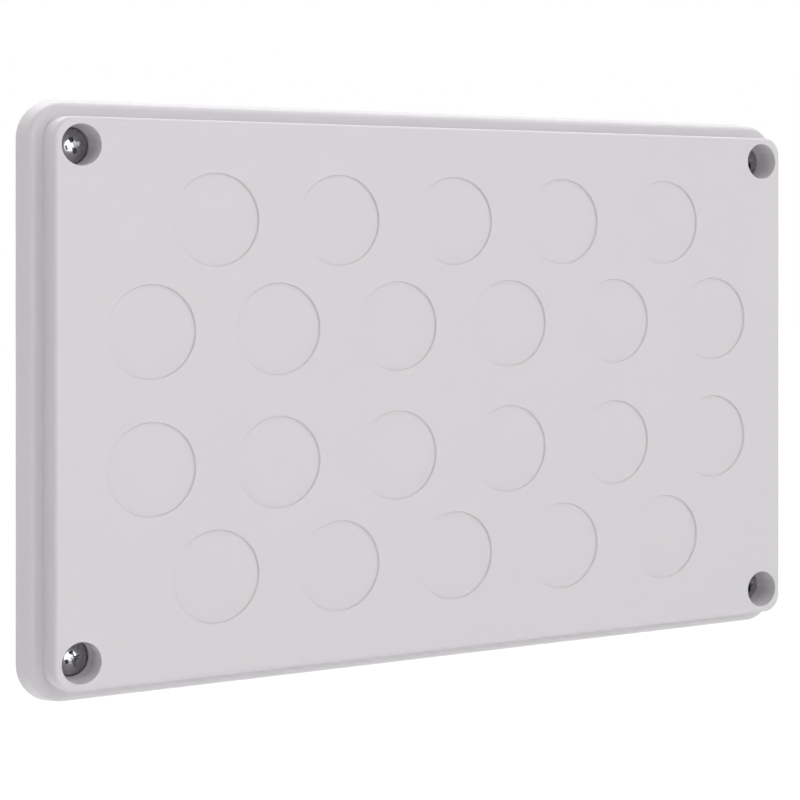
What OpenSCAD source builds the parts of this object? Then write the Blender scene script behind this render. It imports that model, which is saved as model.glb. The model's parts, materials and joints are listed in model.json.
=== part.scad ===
// Cable entry plate: a moulded plate with staggered rows of knock-out entries,
// a soft seal in its rear rim and a captive screw sunk into each corner.
// Millimetres. The plate stands upright: X is its width, +Z is up and the front faces -Y.
// The origin is the centre of the rear mounting plane.

/* [Raised front] */
// Width of the raised front
front_w = 201.3; // [198:0.1:206]
// Height of the raised front
front_h = 124.9; // [122:0.1:130]
// How far the front stands out of the base
front_rise = 6.8; // [6:0.1:9]
// Radius of the front's corners
front_corner_r = 4.5; // [3:0.25:5.5]
// Rounding of the front's edge
front_edge_r = 1; // [0.5:0.1:1.5]
// Draft of the front's side walls, in degrees
front_draft = 2; // [0.5:0.5:3]
// Thickness of the front skin
skin_t = 3; // [2.6:0.1:3.6]

/* [Base] */
// Thickness of the base rim
base_t = 6.5; // [5.6:0.1:7.5]
// How far the base reaches past the front on each side
base_margin = 4.35; // [3.9:0.05:6]
// Radius of the base's corners
base_corner_r = 9; // [8:0.5:12]
// Rounding of the base's front edge
base_edge_r = 1.7; // [1:0.1:2.6]
// Draft of the base's side walls, in degrees
base_draft = 9.5; // [1:0.5:10]

/* [Entries] */
// Diameter of one knock-out
entry_d = 20.5; // [16:0.5:21.5]
// Pitch of the entries in a row
entry_pitch = 31.25; // [29.5:0.25:31.5]
// Entries in each of the two inner rows
inner_count = 6; // [4:1:6]
// Entries in each of the two outer rows
outer_count = 5; // [3:1:5]
// Height between the two inner rows
inner_gap = 30.5; // [29:0.5:32]
// Height between an inner row and its outer row
outer_gap = 24.9; // [23.5:0.1:25.5]
// Depth of the round recess in front of a knock-out
recess_depth = 0.5; // [0.3:0.1:0.8]
// How far the recess's floor reaches past its knock-out on each side
recess_margin = 0.15; // [0.05:0.05:0.3]
// How far the recess's wall flares out from its floor to the front face
recess_flare = 0.2; // [0.1:0.05:0.3]
// Depth of the break groove behind a knock-out
break_depth = 1.8; // [1:0.1:1.8]
// Width of the break groove behind a knock-out
break_w = 0.9; // [0.6:0.1:1.5]

/* [Screws] */
// Distance of a screw's axis from the front's edges
screw_inset = 6.15; // [6:0.05:7]
// Diameter of the thread
thread_d = 4; // [3.8:0.1:4.2]
// Length of the screw under its head
screw_l = 16; // [12:1:20]
// Diameter of the waist between the head and the thread
waist_d = 3; // [2.6:0.1:3.2]
// Diameter of the screw's head
head_d = 8; // [7:0.1:8.2]
// Height of the screw's head
head_h = 3.1; // [2.6:0.1:3.4]
// Height of the head's straight rim
head_rim_h = 1.2; // [0.8:0.1:1.5]
// Span of the cross recess
cross_span = 4.2; // [3.4:0.1:4.8]
// Width of the cross recess's arms
cross_arm_w = 1; // [0.8:0.1:1.2]
// Depth of the cross recess
cross_depth = 1.9; // [1.4:0.1:2.1]
// Turn of the cross recess, in degrees
cross_turn = 18; // [0:1:89]
// Depth of the screw's seat behind the front face
seat_depth = 8.4; // [7.6:0.1:9]
// Diameter of the bore above the screw's head
bore_d = 9.15; // [8.8:0.05:9.4]
// Length of the cone that leads the head into its pocket
lead_h = 0.7; // [0.4:0.1:1]
// Depth of the relief in the rear face, which takes the thread's start when the screw is drawn back
relief_depth = 1.2; // [0.8:0.1:1.6]

/* [Seal] */
// Width of the seal's groove
groove_w = 3; // [2.6:0.1:3.2]
// Depth of the seal's groove
groove_depth = 2; // [1.5:0.1:2.2]
// Wall between the groove and the base's outer edge
rim_outer_wall = 2.1; // [1.8:0.1:2.4]
// Wall between the groove and the rear pocket
rim_inner_wall = 1.7; // [1.5:0.1:2]
// Radius of the groove's outer corners
groove_corner_r = 5.5; // [5.3:0.1:6]
// How far the seal's lip stands out of the rear face
lip_rise = 0.8; // [0.4:0.1:1.2]
// Width of the seal's lip
lip_w = 1.4; // [1:0.1:1.8]

/* [Clearances] */
// Gap round a screw's head in its pocket
head_gap = 0.2; // [0.1:0.05:0.3]
// Gap round a screw's waist in its hole, less than the thread's height so that it holds the screw
waist_gap = 0.3; // [0.2:0.05:0.4]
// Gap round a screw's thread in the relief of the rear face
thread_gap = 0.4; // [0.3:0.05:0.6]
// Gap on each side of the seal in its groove
seal_gap = 0.1; // [0.05:0.05:0.2]

/* [Hidden] */
$fn = 64;
over = 1; // how far a cutter runs past the face it opens
edge_lead = 12; // angle at which a rounded edge meets its faces
total_t = base_t + front_rise;
base_w = front_w + 2 * base_margin;
base_h = front_h + 2 * base_margin;
front_spread = total_t * tan(front_draft); // the front's draft over the whole thickness
pocket_top = total_t - skin_t;
seat_z = total_t - seat_depth;
screw_x = front_w / 2 - screw_inset;
screw_y = front_h / 2 - screw_inset;
hole_d = waist_d + 2 * waist_gap;
relief_d = thread_d + 2 * thread_gap;
head_pocket_d = head_d + 2 * head_gap;
lead_z = seat_z + head_rim_h + (bore_d - head_pocket_d) / 2; // foot of the lead-in cone
tip_chamfer = 0.6;
// the seal's groove: half sizes of its outer edge, and how near it passes to a screw's axis
seal_half_w = base_w / 2 - rim_outer_wall;
seal_half_h = base_h / 2 - rim_outer_wall;
seal_screw_r = hole_d / 2 + rim_outer_wall;
pocket_inset = groove_w + rim_inner_wall;
lip_inset = (groove_w - lip_w) / 2;
// entry rows as [entries in the row, height of the row]
outer_row = inner_gap / 2 + outer_gap;
entry_rows = [
    [outer_count, outer_row],
    [inner_count, inner_gap / 2],
    [inner_count, -inner_gap / 2],
    [outer_count, -outer_row]
];
entry_places = [
    for (row = entry_rows)
        for (i = [0 : row[0] - 1])
            [(i - (row[0] - 1) / 2) * entry_pitch, row[1]]
];
plate_colour = "#d6d3d6";
seal_colour = "#3a3c3f";
screw_colour = "#8c8f94";

// The sub-parts are drawn lying on their backs, then stood up
module upright() {
    rotate([90, 0, 0])
        children();
}

module at_screws() {
    for (sx = [-1, 1])
        for (sy = [-1, 1])
            translate([sx * screw_x, sy * screw_y, 0])
                children();
}

module at_entries() {
    for (place = entry_places)
        translate([place[0], place[1], 0])
            children();
}

// A slab's edge in section: foot at reach, drafted side, rounded top.
// The arc's centre lies a little nearer the faces than its radius, so that it crosses them cleanly.
module edge_section(reach, t, edge_r, draft) {
    near = edge_r * cos(edge_lead);
    arc_y = t - near;
    arc_x = reach - (near + arc_y * sin(draft)) / cos(draft);
    difference() {
        polygon([[0, 0], [reach, 0], [reach - t * tan(draft), t], [0, t]]);
        translate([arc_x, arc_y])
            difference() {
                square(2 * edge_r);
                circle(edge_r);
            }
    }
}

// A slab with round corners, drafted sides and a rounded top edge, sized at its foot:
// a core, and one section that runs along each side and turns round each corner
module slab(w, h, t, corner_r, edge_r, draft) {
    run_w = w - 2 * corner_r;
    run_h = h - 2 * corner_r;
    translate([-run_w / 2, -run_h / 2, 0])
        cube([run_w, run_h, t]);
    for (turn = [0 : 3]) {
        out = turn % 2 == 0 ? run_w / 2 : run_h / 2;
        run = turn % 2 == 0 ? run_h : run_w;
        rotate(90 * turn)
            translate([out, run / 2, 0]) {
                rotate([90, 0, 0])
                    linear_extrude(run)
                        edge_section(corner_r, t, edge_r, draft);
                rotate_extrude(angle = 90)
                    edge_section(corner_r, t, edge_r, draft);
            }
    }
}

module round_rect(w, h, r) {
    square([w - 2 * r, h], center = true);
    square([w, h - 2 * r], center = true);
    for (sx = [-1, 1])
        for (sy = [-1, 1])
            translate([sx * (w / 2 - r), sy * (h / 2 - r)])
                circle(r);
}

// The area inside the seal: it follows the rim, and passes each screw on the inner side.
// The inset moves its edge inwards from the groove's outer edge.
module sealed_area(inset) {
    w = 2 * (seal_half_w - inset);
    h = 2 * (seal_half_h - inset);
    pass_r = seal_screw_r + inset;
    corner_r = groove_corner_r - inset;
    round_rect(w, 2 * (screw_y - pass_r), corner_r);
    round_rect(2 * (screw_x - pass_r), h, corner_r);
    difference() {
        square([2 * screw_x, 2 * screw_y], center = true);
        at_screws()
            circle(pass_r);
    }
}

module seal_band(outer_inset, inner_inset) {
    difference() {
        sealed_area(outer_inset);
        sealed_area(inner_inset);
    }
}

// What is taken out for one screw: rear relief, through hole, head pocket, lead-in cone and bore
module screw_cutter() {
    translate([0, 0, -over])
        cylinder(h = relief_depth + over, d = relief_d);
    translate([0, 0, -over])
        cylinder(h = seat_z + 2 * over, d = hole_d);
    translate([0, 0, seat_z])
        cylinder(h = total_t - seat_z, d = head_pocket_d);
    translate([0, 0, lead_z])
        cylinder(h = lead_h, d1 = head_pocket_d, d2 = bore_d);
    translate([0, 0, lead_z + lead_h])
        cylinder(h = total_t - lead_z - lead_h + over, d = bore_d);
}

// What is taken out for one knock-out: shallow front recess and rear break groove
module entry_cutter() {
    recess_d = entry_d + 2 * recess_margin;
    recess_h = recess_depth + over;
    translate([0, 0, total_t - recess_depth])
        cylinder(h = recess_h, d1 = recess_d, d2 = recess_d + 2 * recess_flare * recess_h / recess_depth);
    translate([0, 0, pocket_top - over])
        difference() {
            cylinder(h = break_depth + over, d = entry_d);
            translate([0, 0, -over])
                cylinder(h = break_depth + 3 * over, d = entry_d - 2 * break_w);
        }
}

module entry_plate() {
    color(plate_colour)
        upright()
            difference() {
                union() {
                    slab(base_w, base_h, base_t, base_corner_r, base_edge_r, base_draft);
                    slab(front_w + 2 * front_spread, front_h + 2 * front_spread, total_t,
                        front_corner_r + front_spread, front_edge_r, front_draft);
                }
                translate([0, 0, -over])
                    linear_extrude(pocket_top + over)
                        sealed_area(pocket_inset);
                translate([0, 0, -over])
                    linear_extrude(groove_depth + over)
                        seal_band(0, groove_w);
                at_screws()
                    screw_cutter();
                at_entries()
                    entry_cutter();
            }
}

module rear_seal() {
    color(seal_colour)
        upright() {
            linear_extrude(groove_depth)
                seal_band(seal_gap, groove_w - seal_gap);
            translate([0, 0, -lip_rise])
                linear_extrude(lip_rise)
                    seal_band(lip_inset, groove_w - lip_inset);
        }
}

module cross_recess() {
    floor_d = cross_span / 3;
    intersection() {
        union() {
            translate([-cross_span / 2, -cross_arm_w / 2, 0])
                cube([cross_span, cross_arm_w, cross_depth + over]);
            translate([-cross_arm_w / 2, -cross_span / 2, 0])
                cube([cross_arm_w, cross_span, cross_depth + over]);
        }
        cylinder(h = cross_depth, d1 = floor_d, d2 = cross_span);
    }
}

module fixing_screw() {
    dome_h = head_h - head_rim_h;
    dome_r = (pow(head_d / 2, 2) + pow(dome_h, 2)) / (2 * dome_h);
    thread_l = screw_l - seat_z;
    difference() {
        union() {
            translate([0, 0, seat_z])
                intersection() {
                    cylinder(h = head_h, d = head_d);
                    translate([0, 0, head_h - dome_r])
                        sphere(dome_r);
                }
            cylinder(h = seat_z + over, d = waist_d);
            translate([0, 0, tip_chamfer - thread_l])
                cylinder(h = thread_l - tip_chamfer, d = thread_d);
            translate([0, 0, -thread_l])
                cylinder(h = tip_chamfer, d1 = thread_d - 2 * tip_chamfer, d2 = thread_d);
        }
        translate([0, 0, seat_z + head_h - cross_depth])
            rotate(cross_turn)
                cross_recess();
    }
}

module fixing_screws() {
    color(screw_colour)
        upright()
            at_screws()
                fixing_screw();
}

entry_plate();
rear_seal();
fixing_screws();
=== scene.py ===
import json
import math

import bmesh
import bpy
import numpy as np
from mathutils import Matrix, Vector, geometry

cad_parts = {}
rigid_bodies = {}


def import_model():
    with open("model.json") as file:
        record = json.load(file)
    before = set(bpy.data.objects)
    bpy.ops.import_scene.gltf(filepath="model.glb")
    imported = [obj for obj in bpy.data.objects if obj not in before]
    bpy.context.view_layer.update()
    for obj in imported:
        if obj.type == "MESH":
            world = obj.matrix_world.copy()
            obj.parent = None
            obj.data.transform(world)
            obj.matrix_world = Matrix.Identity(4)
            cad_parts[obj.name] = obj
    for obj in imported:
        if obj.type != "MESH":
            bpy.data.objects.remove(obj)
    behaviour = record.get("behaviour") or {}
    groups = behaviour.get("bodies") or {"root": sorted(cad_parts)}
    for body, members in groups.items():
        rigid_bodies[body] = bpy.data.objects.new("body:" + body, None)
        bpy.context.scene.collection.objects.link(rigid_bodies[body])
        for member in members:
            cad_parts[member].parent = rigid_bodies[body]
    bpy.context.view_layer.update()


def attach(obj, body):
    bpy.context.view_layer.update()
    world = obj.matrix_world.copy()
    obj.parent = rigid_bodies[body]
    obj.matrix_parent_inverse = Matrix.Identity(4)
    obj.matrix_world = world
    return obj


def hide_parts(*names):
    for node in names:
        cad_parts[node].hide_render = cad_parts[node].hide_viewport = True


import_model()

# ---------------------------------------------------------------------------
# Sizes in millimetres, as in the part's source. Everything is drawn lying on its back:
# x is the width, y the height, and z runs from the rear plane to the front.
MM = 0.001

FRONT_W, FRONT_H, FRONT_RISE = 201.3, 124.9, 6.8
FRONT_CORNER_R, FRONT_EDGE_R, FRONT_DRAFT = 4.5, 1.0, 2.0
SKIN_T = 3.0
BASE_T, BASE_MARGIN = 6.5, 4.35
BASE_CORNER_R, BASE_EDGE_R, BASE_DRAFT = 9.0, 1.7, 9.5
EDGE_LEAD = 12.0  # angle at which a rounded edge leaves its faces

ENTRY_D, ENTRY_PITCH = 20.5, 31.25
INNER_COUNT, OUTER_COUNT = 6, 5
INNER_GAP, OUTER_GAP = 30.5, 24.9
RECESS_DEPTH, RECESS_MARGIN, RECESS_FLARE = 0.5, 0.15, 0.2
BREAK_DEPTH, BREAK_W = 1.8, 0.9

SCREW_INSET, THREAD_D, SCREW_L, WAIST_D = 6.15, 4.0, 16.0, 3.0
HEAD_D, HEAD_H, HEAD_RIM_H = 8.0, 3.1, 1.2
CROSS_SPAN, CROSS_ARM_W, CROSS_DEPTH, CROSS_TURN = 4.2, 1.0, 1.9, 18.0
SEAT_DEPTH, BORE_D, LEAD_H = 8.4, 9.15, 0.7
RELIEF_DEPTH, RELIEF_D, HOLE_D, HEAD_POCKET_D = 1.2, 4.8, 3.6, 8.4
THREAD_PITCH, THREAD_ROOT_R = 0.7, 1.62

GROOVE_W, GROOVE_DEPTH = 3.0, 2.0
RIM_OUTER_WALL, RIM_INNER_WALL, GROOVE_CORNER_R = 2.1, 1.7, 5.5
SEAL_GAP, LIP_RISE, LIP_W = 0.1, 0.8, 1.4

TOTAL_T = BASE_T + FRONT_RISE
POCKET_TOP = TOTAL_T - SKIN_T
SEAT_Z = TOTAL_T - SEAT_DEPTH
SCREW_X, SCREW_Y = FRONT_W / 2 - SCREW_INSET, FRONT_H / 2 - SCREW_INSET
SEAL_HALF_W = FRONT_W / 2 + BASE_MARGIN - RIM_OUTER_WALL
SEAL_HALF_H = FRONT_H / 2 + BASE_MARGIN - RIM_OUTER_WALL
SEAL_SCREW_R = HOLE_D / 2 + RIM_OUTER_WALL
POCKET_INSET = GROOVE_W + RIM_INNER_WALL

# small roundings that a moulding tool leaves, finer than the solids carry
RIM_ROUND, FOOT_ROUND, SEAT_ROUND = 0.12, 0.15, 0.1
RECESS_EDGE, REAR_EDGE = 0.03, 0.2
REAR_EDGE_RISE = 0.03  # height of the rear edge's middle point
ROUND_MIDDLE = 0.3  # where a rounding's middle point lies, as a share of its size

# the screw's finer shape
HEAD_EDGE_IN, HEAD_EDGE_UP, HEAD_EDGE_DOWN = 0.05, 0.03, 0.1
HEAD_FOOT, NECK_ROUND = 0.12, 0.15
WAIST_END, THREAD_START = 0.2, 0.05
TIP_L, TIP_MIDDLE_R, TIP_MIDDLE_L, TIP_END_R = 0.5, 1.4, 0.12, 1.28
# in pitches: from the middle of the crest to the root, and across one flank
CREST_TO_ROOT, FLANK = 0.375, 0.3125
# the cross recess at its floor, as shares of its sizes at the head's top
CROSS_FLOOR_SPAN, CROSS_FLOOR_W = 1 / 3, 0.8
# in depths of the recess: the cutter's height, and how much higher the second arm's floor is
CROSS_CUTTER_H, CROSS_ARM_STEP = 1.3, 0.03

# the seal's section: roundings at its back, its sides, the lip's foot and the lip's tip
SEAL_BACK_R, SEAL_SIDE_R, LIP_FOOT_R, LIP_TIP_R = 0.3, 0.25, 0.15, 0.5

# how far from the ends of a wall its extra rings of points lie, which keep its shading straight
FOOT_HOLD, TOP_HOLD, RIM_HOLD, SEAT_HOLD = 0.25, 0.3, 0.5, 0.2
FLOOR_RING = 0.6  # a ring of points on a round floor, as a share of the floor's radius

ENTRY_SIDES, SCREW_SIDES = 72, 48
CORNER_STEPS, EDGE_STEPS, DOME_STEPS = 14, 12, 14
GROOVE_CORNER_STEPS, SCREW_PASS_STEPS = 8, 16
ROWS_PER_TURN = 16

SHEET_TOLERANCE = 1e-6  # in millimetres
SAME_PLACE, NO_LENGTH = 2e-6, 1e-7  # in metres


# ---------------------------------------------------------------------------
# Outlines of the moulding

def arc(cx, cy, r, start, end, steps):
    turn = [math.radians(start + (end - start) * i / steps) for i in range(steps + 1)]
    return [(cx + r * math.cos(a), cy + r * math.sin(a)) for a in turn]


def four_corners(quarter):
    """A closed outline from its first quarter, which runs from the right side to the top."""
    back = quarter[::-1]
    return (
        quarter
        + [(-x, y) for x, y in back]
        + [(-x, -y) for x, y in quarter]
        + [(x, -y) for x, y in back]
    )


def slab_outline(run_x, run_y, r):
    return four_corners(arc(run_x, run_y, r, 0, 90, CORNER_STEPS))


def seal_outline(inset):
    """The line that the seal follows: along the rim, and past each screw on its inner side."""
    half_w, half_h = SEAL_HALF_W - inset, SEAL_HALF_H - inset
    pass_r = SEAL_SCREW_R + inset
    corner_r = GROOVE_CORNER_R - inset
    side_y, side_x = SCREW_Y - pass_r, SCREW_X - pass_r
    return four_corners(
        arc(half_w - corner_r, side_y - corner_r, corner_r, 0, 90, GROOVE_CORNER_STEPS)
        + arc(SCREW_X, SCREW_Y, pass_r, 270, 180, SCREW_PASS_STEPS)
        + arc(side_x - corner_r, half_h - corner_r, corner_r, 0, 90, GROOVE_CORNER_STEPS)
    )


def ring(cx, cy, r, sides):
    turn = [2 * math.pi * i / sides for i in range(sides)]
    return [(cx + r * math.cos(a), cy + r * math.sin(a)) for a in turn]


def slab_side(reach, t, edge_r, draft, foot_z):
    """A slab's side in section, from its foot to its top, as (distance from the corner's
    centre, height)."""
    near = edge_r * math.cos(math.radians(EDGE_LEAD))
    slope = math.radians(draft)
    arc_z = t - near
    arc_x = reach - (near + arc_z * math.sin(slope)) / math.cos(slope)
    rounding = arc(arc_x, arc_z, edge_r, draft + EDGE_LEAD, 90 - EDGE_LEAD, EDGE_STEPS)
    heights = (foot_z, foot_z + FOOT_HOLD, rounding[0][1] - TOP_HOLD)
    return [(reach - z * math.tan(slope), z) for z in heights] + rounding


def rear_wall(inset, depth):
    """A wall from the rear plane inwards with a rounded rim and foot, as (inset, height)."""
    e, f = RIM_ROUND, FOOT_ROUND
    e_middle, f_middle = e * ROUND_MIDDLE, f * ROUND_MIDDLE
    return [
        (inset - e, 0),
        (inset - e_middle, e_middle),
        (inset, e),
        (inset, depth - f),
        (inset + f_middle, depth - f_middle),
        (inset + f, depth),
    ]


def entry_places():
    outer_row = INNER_GAP / 2 + OUTER_GAP
    rows = [
        (OUTER_COUNT, outer_row),
        (INNER_COUNT, INNER_GAP / 2),
        (INNER_COUNT, -INNER_GAP / 2),
        (OUTER_COUNT, -outer_row),
    ]
    return [((i - (n - 1) / 2) * ENTRY_PITCH, y) for n, y in rows for i in range(n)]


def screw_places():
    return [(sx * SCREW_X, sy * SCREW_Y) for sx in (-1, 1) for sy in (-1, 1)]


# ---------------------------------------------------------------------------
# The moulding's sheets and walls, left open where the entries and screw holes come

def inside(points, loop):
    """Which of the points lie inside the closed loop."""
    x, y = points[:, 0], points[:, 1]
    hit = np.zeros(len(points), bool)
    for (x0, y0), (x1, y1) in zip(loop, loop[1:] + loop[:1]):
        if y0 == y1:
            continue
        crosses = (y0 > y) != (y1 > y)
        hit ^= crosses & (x < (x1 - x0) * (y - y0) / (y1 - y0) + x0)
    return hit


class Shell:
    """Points and faces of the moulding in millimetres."""

    def __init__(self):
        self.points, self.faces = [], []

    def loop(self, outline, z):
        first = len(self.points)
        self.points += [(x, y, z) for x, y in outline]
        return list(range(first, len(self.points)))

    def rings(self, places, r, sides, z):
        return [self.loop(ring(x, y, r, sides), z) for x, y in places]

    def walls(self, loops):
        for low, high in zip(loops, loops[1:]):
            for i in range(len(low)):
                j = (i + 1) % len(low)
                self.faces.append((low[i], low[j], high[j], high[i]))

    def sheet(self, outer, holes):
        """A flat sheet inside the outer loop, with its holes left open."""
        loops = [outer] + holes
        names = [i for one in loops for i in one]
        flat = [Vector(self.points[i][:2]) for i in names]
        edges, first = [], 0
        for one in loops:
            n = len(one)
            edges += [(first + i, first + (i + 1) % n) for i in range(n)]
            first += n
        made = geometry.delaunay_2d_cdt(flat, edges, [], 0, SHEET_TOLERANCE)
        corners, triangles, origin = made[0], made[2], made[3]
        middles = np.array([sum((corners[i] for i in t), Vector((0, 0))) / 3 for t in triangles])
        keep = inside(middles, [self.points[i][:2] for i in outer])
        for hole in holes:
            keep &= ~inside(middles, [self.points[i][:2] for i in hole])
        for t, kept in zip(triangles, keep):
            if kept:
                self.faces.append(tuple(names[origin[i][0]] for i in t))


def moulding_shell():
    shell = Shell()
    base_x = FRONT_W / 2 + BASE_MARGIN - BASE_CORNER_R
    base_y = FRONT_H / 2 + BASE_MARGIN - BASE_CORNER_R
    front_x, front_y = FRONT_W / 2 - FRONT_CORNER_R, FRONT_H / 2 - FRONT_CORNER_R
    front_reach = FRONT_CORNER_R + TOTAL_T * math.tan(math.radians(FRONT_DRAFT))

    base_side = [
        (BASE_CORNER_R - REAR_EDGE, 0),
        (BASE_CORNER_R - REAR_EDGE / 2, REAR_EDGE_RISE),
        *slab_side(BASE_CORNER_R, BASE_T, BASE_EDGE_R, BASE_DRAFT, REAR_EDGE),
    ]
    front_side = slab_side(front_reach, TOTAL_T, FRONT_EDGE_R, FRONT_DRAFT, BASE_T)
    outer = [shell.loop(slab_outline(base_x, base_y, r), z) for r, z in base_side]
    outer += [shell.loop(slab_outline(front_x, front_y, r), z) for r, z in front_side]
    shell.walls(outer)

    recess_r = ENTRY_D / 2 + RECESS_MARGIN + RECESS_FLARE + RECESS_EDGE
    recesses = shell.rings(entry_places(), recess_r, ENTRY_SIDES, TOTAL_T)
    bores = shell.rings(screw_places(), BORE_D / 2 + RIM_ROUND, SCREW_SIDES, TOTAL_T)
    shell.sheet(outer[-1], recesses + bores)

    # the rear rim: a flat ring, the seal's groove, a second flat ring and the pocket's wall
    into_groove = rear_wall(0, GROOVE_DEPTH)
    out_of_groove = [(GROOVE_W - inset, z) for inset, z in into_groove[::-1]]
    into_pocket = rear_wall(POCKET_INSET, POCKET_TOP)
    section = into_groove + out_of_groove + into_pocket
    rear = [shell.loop(seal_outline(inset), z) for inset, z in section]
    shell.walls(rear)
    reliefs = shell.rings(screw_places(), RELIEF_D / 2 + RIM_ROUND, SCREW_SIDES, 0)
    shell.sheet(outer[0], [rear[0]] + reliefs)
    breaks = shell.rings(entry_places(), ENTRY_D / 2 + RIM_ROUND, ENTRY_SIDES, POCKET_TOP)
    shell.sheet(rear[-1], breaks)
    return shell


# ---------------------------------------------------------------------------
# Node trees

class Wiring:
    """Adds nodes to a tree, with their settings, values and links."""

    def __init__(self, tree):
        self.nodes, self.links = tree.nodes, tree.links

    def feed(self, socket, value):
        if isinstance(value, bpy.types.NodeSocket):
            self.links.new(value, socket)
        else:
            socket.default_value = value

    def add(self, kind, inputs=(), **settings):
        node = self.nodes.new(kind)
        for key, value in settings.items():
            setattr(node, key, value)
        for key, value in dict(inputs).items():
            self.feed(node.inputs[key], value)
        return node

    def sum(self, operation, a, b=0.0, c=0.0):
        node = self.add("ShaderNodeMath", operation=operation)
        for socket, value in zip(node.inputs, (a, b, c)):
            self.feed(socket, value)
        return node.outputs[0]


class Growth(Wiring):
    """A Geometry Nodes tree with named inputs, and the values that a piece gives them."""

    def __init__(self, name, values):
        self.tree = bpy.data.node_groups.new(name, "GeometryNodeTree")
        super().__init__(self.tree)
        self.values, self.ids = values, {}
        face = self.tree.interface
        face.new_socket("Geometry", in_out="INPUT", socket_type="NodeSocketGeometry")
        for label, value in values.items():
            kind = "NodeSocketFloat"
            if isinstance(value, int):
                kind = "NodeSocketInt"
            elif isinstance(value, bpy.types.Material):
                kind = "NodeSocketMaterial"
            elif isinstance(value, bpy.types.Object):
                kind = "NodeSocketObject"
            self.ids[label] = face.new_socket(label, in_out="INPUT", socket_type=kind).identifier
        face.new_socket("Geometry", in_out="OUTPUT", socket_type="NodeSocketGeometry")
        self.start = self.nodes.new("NodeGroupInput")
        self.end = self.nodes.new("NodeGroupOutput")

    def given(self, label):
        return self.start.outputs[label]

    def point(self, x, y, z):
        return self.add("ShaderNodeCombineXYZ", {"X": x, "Y": y, "Z": z}).outputs[0]

    def position(self):
        return self.add("GeometryNodeInputPosition").outputs[0]

    def split(self, vector):
        return self.add("ShaderNodeSeparateXYZ", {0: vector}).outputs

    def join(self, *parts):
        node = self.add("GeometryNodeJoinGeometry")
        for part in parts:
            self.links.new(part, node.inputs[0])
        return node.outputs[0]

    def merge(self, part):
        inputs = {"Geometry": part, "Distance": SAME_PLACE}
        return self.add("GeometryNodeMergeByDistance", inputs).outputs[0]

    def grid(self, size_x, size_y, rows, columns):
        inputs = {"Size X": size_x, "Size Y": size_y, "Vertices X": rows, "Vertices Y": columns}
        return self.add("GeometryNodeMeshGrid", inputs).outputs["Mesh"]

    def unit_grid(self, rows, columns):
        """A grid of one by one, and each point's place along its rows and columns, from 0 to 1."""
        grid = self.grid(1.0, 1.0, rows, columns)
        place = self.split(self.position())
        return grid, self.sum("ADD", place[0], 0.5), self.sum("ADD", place[1], 0.5)

    def placed(self, part, position):
        inputs = {"Geometry": part, "Position": position}
        return self.add("GeometryNodeSetPosition", inputs).outputs[0]

    def turned(self, profile, first, count, sides):
        """The profile's points from first on, turned round the z axis, with x as the radius."""
        grid, along, round_ = self.unit_grid(count, self.sum("ADD", sides, 1.0))
        step = self.sum("ROUND", self.sum("MULTIPLY", along, self.sum("SUBTRACT", count, 1.0)))
        index = self.sum("ADD", step, first)
        spot = self.add(
            "GeometryNodeSampleIndex",
            {"Geometry": profile, "Value": self.position(), "Index": index},
            data_type="FLOAT_VECTOR",
            domain="POINT",
        )
        part = self.split(spot.outputs["Value"])
        angle = self.sum("MULTIPLY", round_, 2 * math.pi)
        x = self.sum("MULTIPLY", part[0], self.sum("COSINE", angle))
        y = self.sum("MULTIPLY", part[0], self.sum("SINE", angle))
        return self.placed(grid, self.point(x, y, part[2]))

    def turned_whole(self):
        """The whole profile that the tree is given, turned round the z axis."""
        profile = self.given("Geometry")
        size = self.add("GeometryNodeAttributeDomainSize", {0: profile}, component="MESH")
        count = size.outputs["Point Count"]
        return self.merge(self.turned(profile, 0.0, count, self.given("Sides")))

    def row_of_points(self, count, pitch, height):
        steps = self.sum("SUBTRACT", count, 1.0)
        start_x = self.sum("MULTIPLY", steps, self.sum("MULTIPLY", pitch, -0.5))
        start, step = self.point(start_x, height, 0.0), self.point(pitch, 0.0, 0.0)
        inputs = {"Count": count, "Start Location": start, "Offset": step}
        return self.add("GeometryNodeMeshLine", inputs).outputs[0]

    def entry_points(self):
        inner = self.sum("MULTIPLY", self.given("Inner gap"), 0.5)
        outer = self.sum("ADD", inner, self.given("Outer gap"))
        rows = []
        for label, height in (("Outer count", outer), ("Inner count", inner)):
            for side in (1.0, -1.0):
                row_y = self.sum("MULTIPLY", height, side)
                rows.append(self.row_of_points(self.given(label), self.given("Pitch"), row_y))
        return self.join(*rows)

    def corner_points(self):
        return self.grid(self.given("Spacing across"), self.given("Spacing in height"), 2, 2)

    def repeated(self, part, points):
        inputs = {"Points": points, "Instance": part}
        return self.add("GeometryNodeInstanceOnPoints", inputs).outputs[0]

    def finish(self, part):
        """Stands the result upright, as one real mesh with its material."""
        turn = {"Geometry": part, "Rotation": (math.radians(90), 0, 0)}
        upright = self.add("GeometryNodeTransform", turn).outputs[0]
        real = self.add("GeometryNodeRealizeInstances", {"Geometry": upright}).outputs[0]
        dress = {"Geometry": real, "Material": self.given("Material")}
        dressed = self.add("GeometryNodeSetMaterial", dress).outputs[0]
        self.links.new(dressed, self.end.inputs[0])

    def grow(self, name, mesh):
        """The tree's result on this mesh, as an object with a plain mesh."""
        piece = new_object(name, mesh)
        modifier = piece.modifiers.new("growth", "NODES")
        modifier.node_group = self.tree
        for label, value in self.values.items():
            modifier[self.ids[label]] = value
        seen = bpy.context.evaluated_depsgraph_get()
        plain = bpy.data.meshes.new_from_object(piece.evaluated_get(seen), depsgraph=seen)
        piece.modifiers.remove(modifier)
        piece.data = plain
        plain.name = name
        return piece


def new_object(name, data):
    made = bpy.data.objects.new(name, data)
    bpy.context.scene.collection.objects.link(made)
    return made


def put_away(*pieces):
    for piece in pieces:
        bpy.data.objects.remove(piece)


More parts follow.
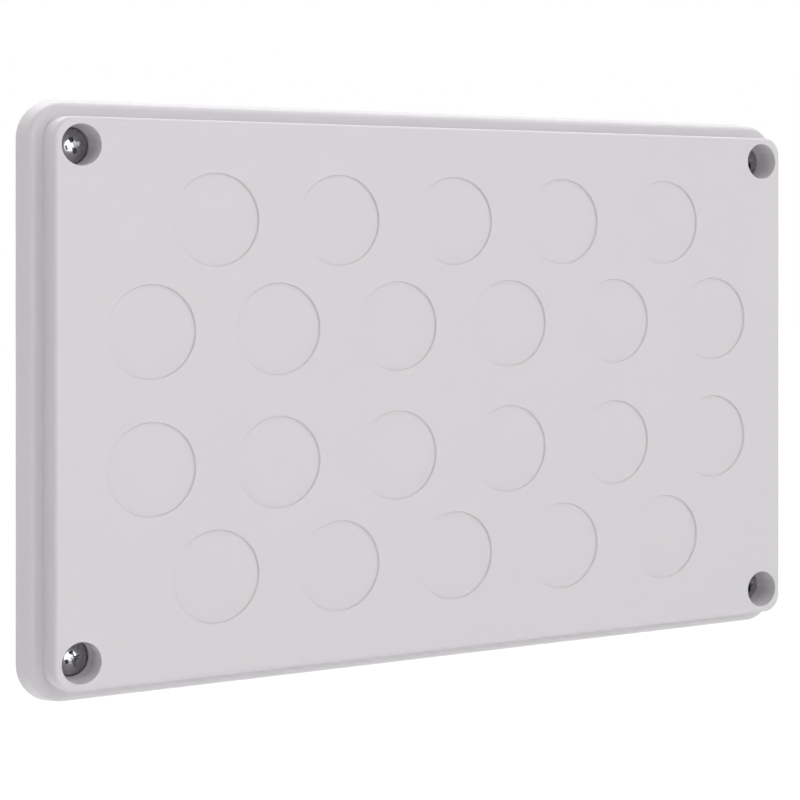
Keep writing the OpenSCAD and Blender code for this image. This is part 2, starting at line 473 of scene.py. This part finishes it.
def line_mesh(name, points, closed=False):
    """A line of points in millimetres as a mesh of edges in metres."""
    mesh = bpy.data.meshes.new(name)
    n = len(points)
    edges = [(i, (i + 1) % n) for i in range(n if closed else n - 1)]
    mesh.from_pydata([tuple(c * MM for c in p) for p in points], edges, [])
    return mesh


def profile_mesh(name, points):
    return line_mesh(name, [(r, 0, z) for r, z in points])


# ---------------------------------------------------------------------------
# Turned details of the moulding, drawn as (radius, height)

def quarter_turn(steps=3):
    return [math.pi / 2 * i / steps for i in range(steps + 1)]


def rounded_rim(r, z, out, up, size):
    """A quarter round between a flat and a wall: it starts on the flat and ends on the wall."""
    return [
        (r + out * size * (1 - math.sin(a)), z + up * size * (1 - math.cos(a)))
        for a in quarter_turn()
    ]


def rounded_foot(r, z, out, up, size):
    """A quarter round between a wall and a floor: it starts on the wall and ends on the floor."""
    return [
        (r + out * size * (1 - math.cos(a)), z + up * size * (1 - math.sin(a)))
        for a in quarter_turn()
    ]


def recess_profile():
    """An entry's recess: a small edge at its rim, the flared wall and the floor."""
    foot, floor = ENTRY_D / 2 + RECESS_MARGIN, TOTAL_T - RECESS_DEPTH
    rim = foot + RECESS_FLARE
    return [
        (rim + RECESS_EDGE, TOTAL_T),
        (rim, TOTAL_T - RECESS_EDGE),
        (foot, floor),
        (foot * FLOOR_RING, floor),
        (0, floor),
    ]


def break_profile():
    """The groove behind a knock-out, and the rear of the knock-out inside it."""
    r, inner, top = ENTRY_D / 2, ENTRY_D / 2 - BREAK_W, POCKET_TOP + BREAK_DEPTH
    return (
        rounded_rim(r, POCKET_TOP, 1, 1, RIM_ROUND)
        + rounded_foot(r, top, -1, -1, FOOT_ROUND)
        + rounded_foot(inner, top, 1, -1, FOOT_ROUND)[::-1]
        + rounded_rim(inner, POCKET_TOP, -1, 1, RIM_ROUND)[::-1]
        + [(inner * FLOOR_RING, POCKET_TOP), (0, POCKET_TOP)]
    )


def screw_hole_profile():
    """From the front: the bore, a cone, the head's pocket and seat, the hole and the relief."""
    bore, pocket, hole, relief = BORE_D / 2, HEAD_POCKET_D / 2, HOLE_D / 2, RELIEF_D / 2
    lead_z = SEAT_Z + HEAD_RIM_H + bore - pocket
    lead_top = lead_z + LEAD_H
    return (
        rounded_rim(bore, TOTAL_T, 1, -1, RIM_ROUND)
        + [(bore, TOTAL_T - RIM_HOLD), (bore, lead_top + FOOT_HOLD), (bore, lead_top)]
        + [(pocket, lead_z), (pocket, lead_z - SEAT_HOLD)]
        + rounded_foot(pocket, SEAT_Z, -1, 1, SEAT_ROUND)
        + [(hole, SEAT_Z), (hole, SEAT_Z - SEAT_HOLD)]
        + [(hole, RELIEF_DEPTH + SEAT_HOLD), (hole, RELIEF_DEPTH)]
        + rounded_foot(relief, RELIEF_DEPTH, -1, -1, SEAT_ROUND)[::-1]
        + rounded_rim(relief, 0, 1, 1, RIM_ROUND)[::-1]
    )


def entry_growth(name, material):
    """The same turned detail at every entry."""
    growth = Growth(
        name,
        {
            "Sides": ENTRY_SIDES,
            "Pitch": ENTRY_PITCH * MM,
            "Inner count": INNER_COUNT,
            "Outer count": OUTER_COUNT,
            "Inner gap": INNER_GAP * MM,
            "Outer gap": OUTER_GAP * MM,
            "Material": material,
        },
    )
    growth.finish(growth.repeated(growth.turned_whole(), growth.entry_points()))
    return growth


def corner_values():
    return {"Spacing across": 2 * SCREW_X * MM, "Spacing in height": 2 * SCREW_Y * MM}


def screw_hole_growth(material):
    values = {"Sides": SCREW_SIDES, **corner_values(), "Material": material}
    growth = Growth("screw holes", values)
    growth.finish(growth.repeated(growth.turned_whole(), growth.corner_points()))
    return growth


# ---------------------------------------------------------------------------
# Closing a piece, and the normals of moulded and turned surfaces

def close_up(mesh):
    """Merges doubled points, turns the faces outwards and shades them smooth."""
    work = bmesh.new()
    work.from_mesh(mesh)
    bmesh.ops.remove_doubles(work, verts=work.verts, dist=SAME_PLACE)
    bmesh.ops.dissolve_degenerate(work, edges=work.edges, dist=NO_LENGTH)
    bmesh.ops.recalc_face_normals(work, faces=work.faces)
    for face in work.faces:
        face.smooth = True
    work.to_mesh(mesh)
    work.free()
    mesh.update()


def settle_normals(mesh, limit, flat_axis=None):
    """Corners wider than the limit stay crisp. Faces square to the flat axis stay flat up to
    their edges, and the roundings beside them run smoothly into them."""
    normals = np.zeros(len(mesh.polygons) * 3)
    mesh.polygons.foreach_get("normal", normals)
    normals = normals.reshape(-1, 3)
    corner_point = np.zeros(len(mesh.loops), int)
    mesh.loops.foreach_get("vertex_index", corner_point)
    sizes = np.zeros(len(mesh.polygons), int)
    mesh.polygons.foreach_get("loop_total", sizes)
    corner_face = np.repeat(np.arange(len(mesh.polygons)), sizes)
    flat = np.zeros(len(mesh.polygons), bool)
    if flat_axis is not None:
        flat = np.abs(normals @ np.array(flat_axis)) > math.cos(math.radians(1))
    near = math.cos(math.radians(limit))
    settled = np.zeros((len(mesh.loops), 3))
    order = np.argsort(corner_point, kind="stable")
    starts = np.searchsorted(corner_point[order], np.arange(len(mesh.vertices) + 1))
    for point in range(len(mesh.vertices)):
        corners = order[starts[point]:starts[point + 1]]
        if not len(corners):
            continue
        faces = corner_face[corners]
        here = normals[faces]
        level = flat[faces]
        alike = here @ here.T > near
        leads = alike & level[None, :]
        weight = np.where(leads.any(1)[:, None], leads, alike).astype(float)
        mean = weight @ here
        mean[level] = here[level]
        settled[corners] = mean / np.linalg.norm(mean, axis=1)[:, None]
    mesh.normals_split_custom_set(settled.tolist())


def joined(name, meshes, material):
    """Several meshes as one."""
    work = bmesh.new()
    for mesh in meshes:
        work.from_mesh(mesh)
    mesh = bpy.data.meshes.new(name)
    work.to_mesh(mesh)
    work.free()
    mesh.materials.clear()
    mesh.materials.append(material)
    mesh.polygons.foreach_set("material_index", [0] * len(mesh.polygons))
    return mesh


# ---------------------------------------------------------------------------
# Materials

def grain_group():
    """Fine surface grain, and broad soft patches that tone and gloss follow."""
    group = bpy.data.node_groups.new("surface grain", "ShaderNodeTree")
    face = group.interface
    face.new_socket("Vector", in_out="INPUT", socket_type="NodeSocketVector")
    for label in ("Grain scale", "Patch scale", "Stretch"):
        face.new_socket(label, in_out="INPUT", socket_type="NodeSocketFloat")
    for label in ("Grain", "Patches"):
        face.new_socket(label, in_out="OUTPUT", socket_type="NodeSocketFloat")
    wiring = Wiring(group)
    start = wiring.add("NodeGroupInput")
    place, scale = start.outputs["Vector"], start.outputs["Grain scale"]
    long_way = wiring.add("ShaderNodeCombineXYZ", {"X": 1, "Y": 1, "Z": start.outputs["Stretch"]})
    stretch = {0: place, 1: long_way.outputs[0]}
    drawn = wiring.add("ShaderNodeVectorMath", stretch, operation="MULTIPLY")
    fine = {"Vector": drawn.outputs[0], "Scale": scale}
    pits = wiring.add("ShaderNodeTexVoronoi", {**fine, "Smoothness": 0.6}, feature="SMOOTH_F1")
    specks = wiring.add("ShaderNodeTexNoise", {**fine, "Detail": 3, "Roughness": 0.6})
    pit_share = 0.6
    grain = wiring.sum("MULTIPLY_ADD", pits.outputs["Distance"], pit_share, specks.outputs[0])
    broad = {"Vector": place, "Scale": start.outputs["Patch scale"], "Detail": 2}
    patches = wiring.add("ShaderNodeTexNoise", broad).outputs[0]
    wiring.add("NodeGroupOutput", {"Grain": grain, "Patches": patches})
    return group


surface_grain = grain_group()


class Finish(Wiring):
    """A material that is wired in the script."""

    def __init__(self, name):
        self.material = bpy.data.materials.new(name)
        self.material.use_nodes = True
        super().__init__(self.material.node_tree)
        self.surface = self.nodes["Principled BSDF"]

    def set(self, **plain):
        for key, value in plain.items():
            self.surface.inputs[key.replace("_", " ")].default_value = value

    def grained(self, grain_scale, patch_scale, stretch=1.0):
        inputs = {
            "Vector": self.add("ShaderNodeTexCoord").outputs["Object"],
            "Grain scale": grain_scale,
            "Patch scale": patch_scale,
            "Stretch": stretch,
        }
        node = self.add("ShaderNodeGroup", inputs, node_tree=surface_grain)
        return node.outputs["Grain"], node.outputs["Patches"]

    def shade(self, mask, dark, light):
        """A colour that runs between two by the mask. The node takes them at its inputs 6 and 7."""
        colours = {0: mask, 6: (*dark, 1), 7: (*light, 1)}
        node = self.add("ShaderNodeMix", colours, data_type="RGBA")
        self.links.new(node.outputs[2], self.surface.inputs["Base Color"])

    def vary_roughness(self, mask, low, high):
        node = self.add("ShaderNodeMapRange", {"Value": mask, "To Min": low, "To Max": high})
        self.links.new(node.outputs[0], self.surface.inputs["Roughness"])

    def emboss(self, height, strength, depth):
        inputs = {"Strength": strength, "Distance": depth, "Height": height}
        node = self.add("ShaderNodeBump", inputs)
        self.links.new(node.outputs[0], self.surface.inputs["Normal"])


def light_grey_moulding():
    finish = Finish("light_grey_moulding")
    grain, patches = finish.grained(grain_scale=2600, patch_scale=22)
    finish.shade(patches, dark=(0.625, 0.605, 0.625), light=(0.645, 0.625, 0.645))
    finish.vary_roughness(patches, low=0.46, high=0.56)
    finish.emboss(grain, strength=0.12, depth=0.00004)
    finish.set(Specular_IOR_Level=0.3)
    return finish.material


def soft_black_rubber():
    finish = Finish("soft_black_rubber")
    grain, patches = finish.grained(grain_scale=1800, patch_scale=60)
    finish.shade(patches, dark=(0.028, 0.029, 0.032), light=(0.046, 0.048, 0.052))
    finish.vary_roughness(patches, low=0.66, high=0.82)
    finish.emboss(grain, strength=0.25, depth=0.00006)
    return finish.material


def rolled_steel():
    finish = Finish("rolled_steel")
    grain, patches = finish.grained(grain_scale=3200, patch_scale=420, stretch=0.25)
    finish.shade(patches, dark=(0.37, 0.37, 0.38), light=(0.45, 0.45, 0.46))
    finish.vary_roughness(patches, low=0.13, high=0.2)
    finish.emboss(grain, strength=0.05, depth=0.00003)
    finish.set(Metallic=1.0)
    return finish.material


# ---------------------------------------------------------------------------
# The plate

def plate_moulding():
    finish = light_grey_moulding()
    shell = moulding_shell()
    shell_mesh = bpy.data.meshes.new("moulding shell")
    upright = [(x * MM, -z * MM, y * MM) for x, y, z in shell.points]
    shell_mesh.from_pydata(upright, [], shell.faces)
    details = (
        (entry_growth("entry recesses", finish), "recesses", recess_profile()),
        (entry_growth("break grooves", finish), "breaks", break_profile()),
        (screw_hole_growth(finish), "holes", screw_hole_profile()),
    )
    grown = [growth.grow(name, profile_mesh(name, line)) for growth, name, line in details]
    mesh = joined("plate_moulding", [shell_mesh] + [one.data for one in grown], finish)
    put_away(*grown)
    close_up(mesh)
    settle_normals(mesh, limit=32, flat_axis=(0, 1, 0))
    return new_object("plate_moulding", mesh)


# ---------------------------------------------------------------------------
# The screws: turned head and waist, a helical thread, a tip and a cross recess

def head_profile():
    head_r, waist_r = HEAD_D / 2, WAIST_D / 2
    dome_h = HEAD_H - HEAD_RIM_H
    dome_r = (head_r ** 2 + dome_h ** 2) / (2 * dome_h)
    top, centre = SEAT_Z + HEAD_H, SEAT_Z + HEAD_H - dome_r
    half = math.degrees(math.asin(head_r / dome_r))
    lean = [math.radians(half * i / DOME_STEPS) for i in range(1, DOME_STEPS)]
    rim_top = SEAT_Z + HEAD_RIM_H
    return (
        [(0, top)]
        + [(dome_r * math.sin(a), centre + dome_r * math.cos(a)) for a in lean]
        + [(head_r - HEAD_EDGE_IN, rim_top + HEAD_EDGE_UP), (head_r, rim_top - HEAD_EDGE_DOWN)]
        + [(head_r, SEAT_Z + HEAD_FOOT)]
        + rounded_foot(head_r, SEAT_Z, -1, 1, SEAT_ROUND)
        + [(waist_r + NECK_ROUND, SEAT_Z), (waist_r, SEAT_Z - NECK_ROUND), (waist_r, WAIST_END)]
        + [(THREAD_ROOT_R, THREAD_START), (THREAD_ROOT_R, 0)]
    )


def tip_profile():
    end = SEAT_Z - SCREW_L
    return [
        (THREAD_ROOT_R, end + TIP_L),
        (TIP_MIDDLE_R, end + TIP_MIDDLE_L),
        (TIP_END_R, end),
        (0, end),
    ]


def thread_sleeve(growth):
    """The thread: each row of the grid follows the helix, so that its crest stays crisp."""
    g, s = growth.given, growth.sum
    length, pitch = g("Thread length"), g("Thread pitch")
    turns = s("CEIL", s("ADD", s("DIVIDE", length, pitch), 1.0))
    rows = s("MULTIPLY", turns, g("Rows per turn"))
    grid, along, round_ = growth.unit_grid(s("ADD", rows, 1.0), s("ADD", g("Sides"), 1.0))
    row = s("DIVIDE", s("ROUND", s("MULTIPLY", along, rows)), g("Rows per turn"))
    wound = s("SUBTRACT", s("ADD", row, round_), 1.0)
    down = s("MINIMUM", s("MAXIMUM", s("MULTIPLY", wound, pitch), 0.0), length)
    phase = s("FRACT", row)
    from_crest = s("MINIMUM", phase, s("SUBTRACT", 1.0, phase))
    climb = s("DIVIDE", s("SUBTRACT", CREST_TO_ROOT, from_crest), FLANK)
    flank = s("MINIMUM", s("MAXIMUM", climb, 0.0), 1.0)
    run_in = s("MINIMUM", s("DIVIDE", down, pitch), 1.0)
    run_out = s("MINIMUM", s("DIVIDE", s("SUBTRACT", length, down), pitch), 1.0)
    rise = s("MULTIPLY", s("MULTIPLY", flank, g("Thread height")), s("MULTIPLY", run_in, run_out))
    radius = s("ADD", g("Thread root radius"), rise)
    angle = s("MULTIPLY", round_, -2 * math.pi)
    x, y = s("MULTIPLY", radius, s("COSINE", angle)), s("MULTIPLY", radius, s("SINE", angle))
    return growth.placed(grid, growth.point(x, y, s("MULTIPLY", down, -1.0)))


def cross_arm(growth, quarter, floor):
    """One arm of the cross recess, which grows shorter and narrower towards its floor."""
    g, s = growth.given, growth.sum
    block = growth.add("GeometryNodeMeshCube", {"Size": (1, 1, 1)}).outputs["Mesh"]
    place = growth.split(growth.position())
    up = s("MULTIPLY_ADD", s("ADD", place[2], 0.5), CROSS_CUTTER_H, floor)
    long_share = s("MULTIPLY_ADD", up, 1 - CROSS_FLOOR_SPAN, CROSS_FLOOR_SPAN)
    wide_share = s("MULTIPLY_ADD", up, 1 - CROSS_FLOOR_W, CROSS_FLOOR_W)
    x = s("MULTIPLY", place[0], s("MULTIPLY", g("Cross span"), long_share))
    y = s("MULTIPLY", place[1], s("MULTIPLY", g("Cross arm width"), wide_share))
    shaped = growth.placed(block, growth.point(x, y, s("MULTIPLY", up, g("Cross depth"))))
    lift = growth.point(0.0, 0.0, s("SUBTRACT", g("Head top"), g("Cross depth")))
    turn = growth.point(0.0, 0.0, s("ADD", g("Cross turn"), quarter))
    inputs = {"Geometry": shaped, "Translation": lift, "Rotation": turn}
    return growth.add("GeometryNodeTransform", inputs).outputs[0]


def screw_growth(head_points, tip_points, material):
    growth = Growth(
        "corner screws",
        {
            "Sides": SCREW_SIDES,
            "Head points": head_points,
            "Tip points": tip_points,
            "Thread length": (SCREW_L - SEAT_Z - TIP_L) * MM,
            "Thread pitch": THREAD_PITCH * MM,
            "Thread root radius": THREAD_ROOT_R * MM,
            "Thread height": (THREAD_D / 2 - THREAD_ROOT_R) * MM,
            "Rows per turn": ROWS_PER_TURN,
            "Cross span": CROSS_SPAN * MM,
            "Cross arm width": CROSS_ARM_W * MM,
            "Cross depth": CROSS_DEPTH * MM,
            "Cross turn": math.radians(CROSS_TURN),
            "Head top": (SEAT_Z + HEAD_H) * MM,
            **corner_values(),
            "Material": material,
        },
    )
    g = growth.given
    profile = g("Geometry")
    head = growth.turned(profile, 0.0, g("Head points"), g("Sides"))
    tip = growth.turned(profile, g("Head points"), g("Tip points"), g("Sides"))
    blank = growth.merge(growth.join(head, thread_sleeve(growth), tip))
    arms = [cross_arm(growth, 0.0, 0.0), cross_arm(growth, math.pi / 2, CROSS_ARM_STEP)]
    cut = growth.add(
        "GeometryNodeMeshBoolean", {"Mesh 1": blank}, operation="DIFFERENCE", solver="EXACT"
    )
    for arm in arms:
        growth.links.new(arm, cut.inputs["Mesh 2"])
    growth.finish(growth.repeated(cut.outputs["Mesh"], growth.corner_points()))
    return growth


def corner_screws():
    head, tip = head_profile(), tip_profile()
    growth = screw_growth(len(head), len(tip), rolled_steel())
    piece = growth.grow("corner_screws", profile_mesh("screw", head + tip))
    close_up(piece.data)
    settle_normals(piece.data, limit=34)
    return piece


# ---------------------------------------------------------------------------
# The seal: one section swept along the groove

def seal_section():
    half, lip = GROOVE_W / 2 - SEAL_GAP, LIP_W / 2
    back, side, foot, tip = SEAL_BACK_R, SEAL_SIDE_R, LIP_FOOT_R, LIP_TIP_R
    right = (
        arc(half - back, GROOVE_DEPTH - back, back, 90, 0, 4)
        + arc(half - side, side, side, 0, -90, 4)
        + arc(lip + foot, -foot, foot, 90, 180, 3)
        + arc(lip - tip, tip - LIP_RISE, tip, 0, -90, 6)
    )
    return right + [(-x, z) for x, z in right[::-1]]


def seal_growth(section, material):
    growth = Growth("rear seal", {"Section": section, "Material": material})
    path = growth.add("GeometryNodeMeshToCurve", {"Mesh": growth.given("Geometry")}).outputs[0]
    level = growth.add("GeometryNodeSetCurveNormal", {"Curve": path}, mode="Z_UP").outputs[0]
    info = growth.add("GeometryNodeObjectInfo", {"Object": growth.given("Section")})
    outline = growth.add("GeometryNodeMeshToCurve", {"Mesh": info.outputs["Geometry"]}).outputs[0]
    sweep = {"Curve": level, "Profile Curve": outline}
    growth.finish(growth.merge(growth.add("GeometryNodeCurveToMesh", sweep).outputs[0]))
    return growth


def seal_ring():
    line = [(x, -z, 0) for x, z in seal_section()]
    section = new_object("seal section", line_mesh("seal section", line, closed=True))
    way = [(x, y, 0) for x, y in seal_outline(GROOVE_W / 2)]
    path = line_mesh("seal path", way, closed=True)
    piece = seal_growth(section, soft_black_rubber()).grow("seal_ring", path)
    put_away(section)
    close_up(piece.data)
    settle_normals(piece.data, limit=50)
    return piece


# ---------------------------------------------------------------------------
# Each piece takes the place of its solid

for piece, node, slot in (
    (plate_moulding(), "entry_plate", "plate_plastic"),
    (corner_screws(), "fixing_screws", "screw_steel"),
    (seal_ring(), "rear_seal", "seal_rubber"),
):
    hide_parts(node)
    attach(piece, "root")


# ---------------------------------------------------------------------------
# Floor, light and camera, in metres and degrees

FLOOR_HALF = 6.0
CAMERA_PLACE, CAMERA_TURN = (-0.24996, -0.4262, 0.0353), -29.63
SENSOR_MM, LENS_MM, LENS_SHIFT = 36, 90.39, -0.1985


def level_for(wiring, hidden, shown):
    """One strength for light on the object, another for rays that show the background:
    straight to the camera, mirrored or through glass."""
    path = wiring.add("ShaderNodeLightPath").outputs
    seen = path["Is Camera Ray"]
    for label in ("Is Glossy Ray", "Is Transmission Ray"):
        seen = wiring.sum("MAXIMUM", seen, path[label])
    inputs = {"Value": seen, "To Min": hidden, "To Max": shown}
    return wiring.add("ShaderNodeMapRange", inputs).outputs[0]


def studio_world(strength):
    world = bpy.data.worlds.new("white_studio")
    bpy.context.scene.world = world
    world.use_nodes = True
    wiring = Wiring(world.node_tree)
    sky = wiring.nodes["Background"]
    sky.inputs["Color"].default_value = (1, 1, 1, 1)
    wiring.links.new(level_for(wiring, strength, 1.0), sky.inputs["Strength"])


def pale_floor(height, tone, glow):
    mesh = bpy.data.meshes.new("pale_floor")
    corners = [(-1, -1), (1, -1), (1, 1), (-1, 1)]
    points = [(x * FLOOR_HALF, y * FLOOR_HALF, height) for x, y in corners]
    mesh.from_pydata(points, [], [(0, 1, 2, 3)])
    floor = new_object("pale_floor", mesh)
    finish = Finish("pale_floor_paint")
    finish.set(Base_Color=(tone, tone, tone, 1), Roughness=0.9, Specular_IOR_Level=0.0)
    finish.set(Emission_Color=(1, 1, 1, 1))
    finish.feed(finish.surface.inputs["Emission Strength"], level_for(finish, 0.0, glow))
    mesh.materials.append(finish.material)


def hung(name, lamp, azimuth, elevation, distance=0.0):
    """A lamp that faces the plate, from degrees to the left of straight in front of it and
    above the horizon."""
    a, e = math.radians(azimuth), math.radians(elevation)
    way = Vector((-math.sin(a) * math.cos(e), -math.cos(a) * math.cos(e), math.sin(e)))
    holder = new_object(name, lamp)
    holder.location = way * distance
    holder.rotation_euler = way.to_track_quat("Z", "Y").to_euler()
    return holder


def soft_light(name, azimuth, elevation, spread, level):
    """A wide, far light. At level 1 a white surface that faces it renders white."""
    lamp = bpy.data.lights.new(name, "SUN")
    lamp.energy = level * math.pi
    lamp.angle = math.radians(spread)
    hung(name, lamp, azimuth, elevation)


def mirror_card(name, azimuth, elevation, distance, width, level):
    """A round white card that only shows as a reflection, in the screw heads or along edges."""
    lamp = bpy.data.lights.new(name, "AREA")
    lamp.shape = "DISK"
    lamp.size = width
    lamp.energy = level * math.pi * math.pi * width ** 2 / 4
    holder = hung(name, lamp, azimuth, elevation, distance)
    holder.visible_diffuse = False
    holder.visible_camera = False


def photo_camera():
    lens = bpy.data.cameras.new("photo_camera")
    lens.sensor_width = SENSOR_MM
    lens.lens = LENS_MM
    lens.shift_y = LENS_SHIFT
    holder = new_object("photo_camera", lens)
    holder.location = CAMERA_PLACE
    holder.rotation_euler = (math.radians(90), 0, math.radians(CAMERA_TURN))
    bpy.context.scene.camera = holder


bpy.context.scene.view_settings.view_transform = "Standard"
studio_world(strength=0.05)
pale_floor(height=-0.32, tone=0.9, glow=0.06)
soft_light("back_light", azimuth=180, elevation=58, spread=50, level=0.75)
soft_light("high_front_light", azimuth=0, elevation=55, spread=40, level=0.39)
soft_light("left_light", azimuth=60, elevation=10, spread=50, level=0.12)
soft_light("left_back_light", azimuth=110, elevation=15, spread=50, level=0.105)
soft_light("right_front_light", azimuth=-40, elevation=15, spread=50, level=0.285)
mirror_card("front_card", azimuth=3, elevation=-5, distance=0.9, width=1.62, level=1.8)
mirror_card("edge_card", azimuth=-85, elevation=58, distance=0.9, width=0.9, level=3.0)
photo_camera()
